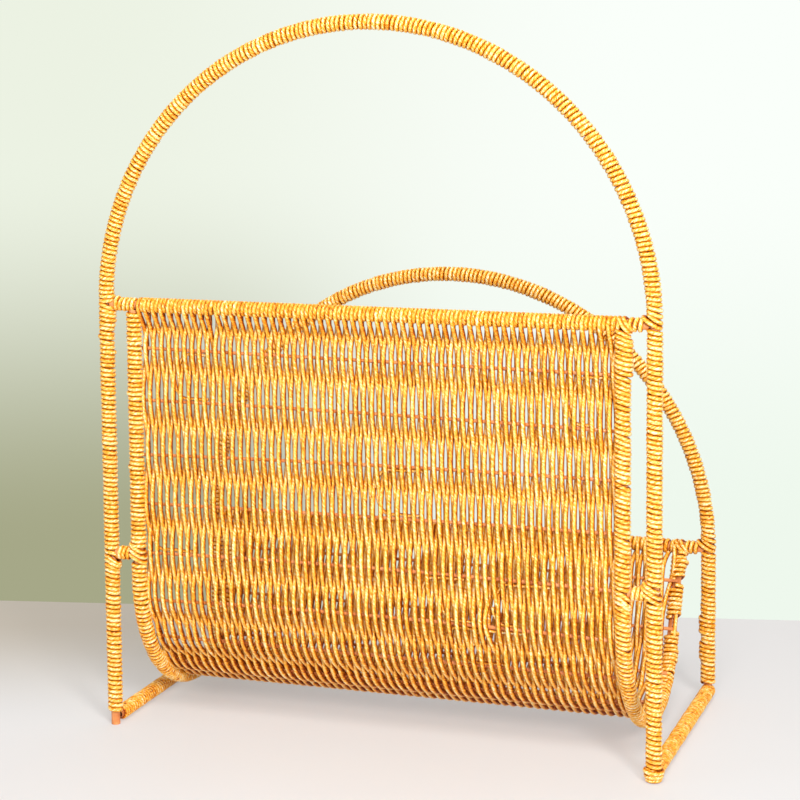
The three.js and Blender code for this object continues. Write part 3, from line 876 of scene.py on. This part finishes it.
ROW_POINTS = 10  # between two wires
WAVER = 0.22 * MM
STRAND_LEAN = 0.5 * MM
# pair, 1 for its strand in front of the top rod or -1 for the other, length, sideways push, reach
BOWS = (
    (43, 1, 207 * MM, -3.6 * MM, 15 * MM),
    (43, -1, 205 * MM, 1.6 * MM, 14 * MM),
    (42, 1, 208 * MM, -1.2 * MM, 15 * MM),
    (9, 1, 18 * MM, -1.6 * MM, 16 * MM),
    (9, 1, 60 * MM, 1.4 * MM, 12 * MM),
    (10, 1, 10 * MM, 0.9 * MM, 14 * MM),
    (57, -1, 478 * MM, 4.4 * MM, 28 * MM),
)


def weave_phase(length, x):
    """A strand's place in its swing over and under the wires: pi from one wire to the next."""
    stops = [0.0] + [wire_length(index, x) for index in range(len(WIRES))] + [RAIL_LENGTH]
    row = float(np.interp(length, stops, range(len(stops))))
    return math.pi * (row if row > 1 else row**FIRST_ROW_POWER)


def strand(cord, x, over, lengths, start_shift, end_shift, bows):
    """Lays a strand over and under the wires. Over is 1 for one that hangs from the front of the top rod."""
    half = WIRE_SPACING / 2
    rod_swing = SLING_INSET + over * HEAD_RADIUS
    wavers = [rng.gauss(0, WAVER) for _ in range(len(WIRES) + 2)] + [0.0]
    for length in lengths:
        near_end = min(smooth(length / half), smooth((RAIL_LENGTH - length) / half))
        swing = SWING * near_end + over * rod_swing * (1 - near_end)
        phase = weave_phase(length, x)
        to_start = 1 - smooth(length / HEAD_LENGTH)
        to_end = 1 - smooth((RAIL_LENGTH - length) / half)
        row, part = divmod(phase / math.pi, 1)
        row = int(row)
        waver = wavers[row] * (1 - smooth(part)) + wavers[row + 1] * smooth(part)
        shift = start_shift * to_start + end_shift * to_end + waver * (1 - to_start)
        shift += over * STRAND_LEAN * math.sin(phase)
        for place, push, reach in bows:
            shift += push * math.exp(-(((length - place) / reach) ** 2))
        point, inward = sling_point(x + shift, length, SLING_INSET - over * swing * math.cos(phase))
        cord.add(point, inward, both=True)


def head_turns(cord, centre, inner, away, start, end, from_x, to_x):
    """Turns round a top rod. Angles are from the sling's inner side, over the side away from the sling."""
    count = max(2, round(abs(end - start) / (2 * math.pi) * HEAD_POINTS))
    for index in range(1, count):
        share = index / count
        angle = start + (end - start) * share
        out = inner * math.cos(angle) + away * math.sin(angle)
        cord.add(Vector((from_x + (to_x - from_x) * share, centre.y, centre.z)) + out * HEAD_RADIUS, out)


# where each loose end starts and stops in X, in mm, its wire, and -1 above it or 1 below it
LOOSE_ENDS = (
    (-143, -119, 1, 1),
    (-146, -121, 2, -1),
    (2, 36, 3, 1),
    (3, 35, 4, -1),
    (140, 165, 1, 1),
    (136, 153, 2, -1),
    (-166, -134, 5, -1),
    (34, 64, 5, 1),
    (86, 124, 5, 1),
    (48, 69, 6, -1),
    (50, 73, 6, 1),
    (84, 101, 6, -1),
    (69, 106, 6, 1),
    (58, 90, 7, -1),
)
LOOSE_RADIUS = 1.2 * MM
LOOSE_RISE = 13 * MM  # how far from the wire a loose end leaves the weave
LOOSE_GAP = WIRE_RADIUS + LOOSE_RADIUS
LOOSE_BEND = 9 * MM
LOOSE_POINTS = 8
LOOSE_INSET = SLING_INSET + 0.4 * MM
LOOSE_WAVER = (-0.2 * MM, 0.5 * MM)


def loose_end(start_x, end_x, wire, way):
    """A cord's end that leaves the weave beside a wire, turns along it and stops."""
    cord = Cord(LOOSE_RADIUS)
    wire_place = wire_length(wire - 1, end_x * MM)
    for index in range(LOOSE_POINTS + 1):
        angle = math.pi / 2 * index / LOOSE_POINTS
        x = start_x * MM + LOOSE_BEND * (1 - math.cos(angle))
        length = wire_place + way * (LOOSE_GAP + LOOSE_RISE * (1 - math.sin(angle)))
        point, inward = sling_point(x, length, LOOSE_INSET)
        cord.add(point, inward, both=True)
    for share in (1 / 3, 2 / 3, 1):
        x = start_x * MM + LOOSE_BEND + ((end_x - start_x) * MM - LOOSE_BEND) * share
        length = wire_place + way * (LOOSE_GAP + rng.uniform(*LOOSE_WAVER))
        point, inward = sling_point(x, length, LOOSE_INSET)
        cord.add(point, inward, both=True)
    return cord


weave_steps = round(RAIL_LENGTH / WIRE_SPACING * ROW_POINTS)
weave_lengths = [RAIL_LENGTH * index / weave_steps for index in range(weave_steps + 1)]
front_rod = Vector((0, FRONT_Y, FRONT_TOP))
rear_rod = Vector((0, REAR_Y, REAR_TOP))
rear_turn = rail_place(RAIL_LENGTH)[2]
rear_inward = Vector((0, math.cos(rear_turn), math.sin(rear_turn)))
rear_away = Vector((0, math.sin(rear_turn), -math.cos(rear_turn)))
foot_shift = HEAD_ADVANCE / 4
for piece_name, pairs in (("left", range(PAIRS // 2)), ("right", range(PAIRS // 2, PAIRS))):
    cord = Cord(STRAND_RADIUS)
    for pair in reversed(pairs):
        up_x = FIRST_X + 2 * pair * STRAND_GAP
        x = up_x - STRAND_GAP + (0 if pair else EDGE_SQUEEZE)
        head_x = x - HEAD_LEAN * (1 - HEAD_FAN * x / RAIL_X)
        up_shift = head_x + HEAD_ADVANCE - up_x
        bows = {over: [bow[2:] for bow in BOWS if bow[:2] == (pair, over)] for over in (1, -1)}
        strand(cord, up_x, -1, list(reversed(weave_lengths)), up_shift, -foot_shift, bows[-1])
        head_turns(cord, front_rod, Y, Z, 0, 3 * math.pi, up_x + up_shift, head_x)
        strand(cord, x, 1, weave_lengths, head_x - x, foot_shift, bows[1])
        if pair != pairs[0]:
            foot_x = x + foot_shift
            next_x = x - STRAND_GAP - foot_shift
            head_turns(cord, rear_rod, rear_inward, rear_away, math.pi, -2 * math.pi, foot_x, next_x)
    ends = [loose_end(*row) for row in LOOSE_ENDS if (row[0] >= 0) == (piece_name == "right")]
    cord_piece(
        f"{piece_name}_sling_cords",
        [cord, *ends],
        "front_sling_panel",
        "sling_cradle",
        "front_sling_head",
        "rear_sling_head",
        painted_crest_light=HEAD_PAINTED_CREST_LIGHT,
    )
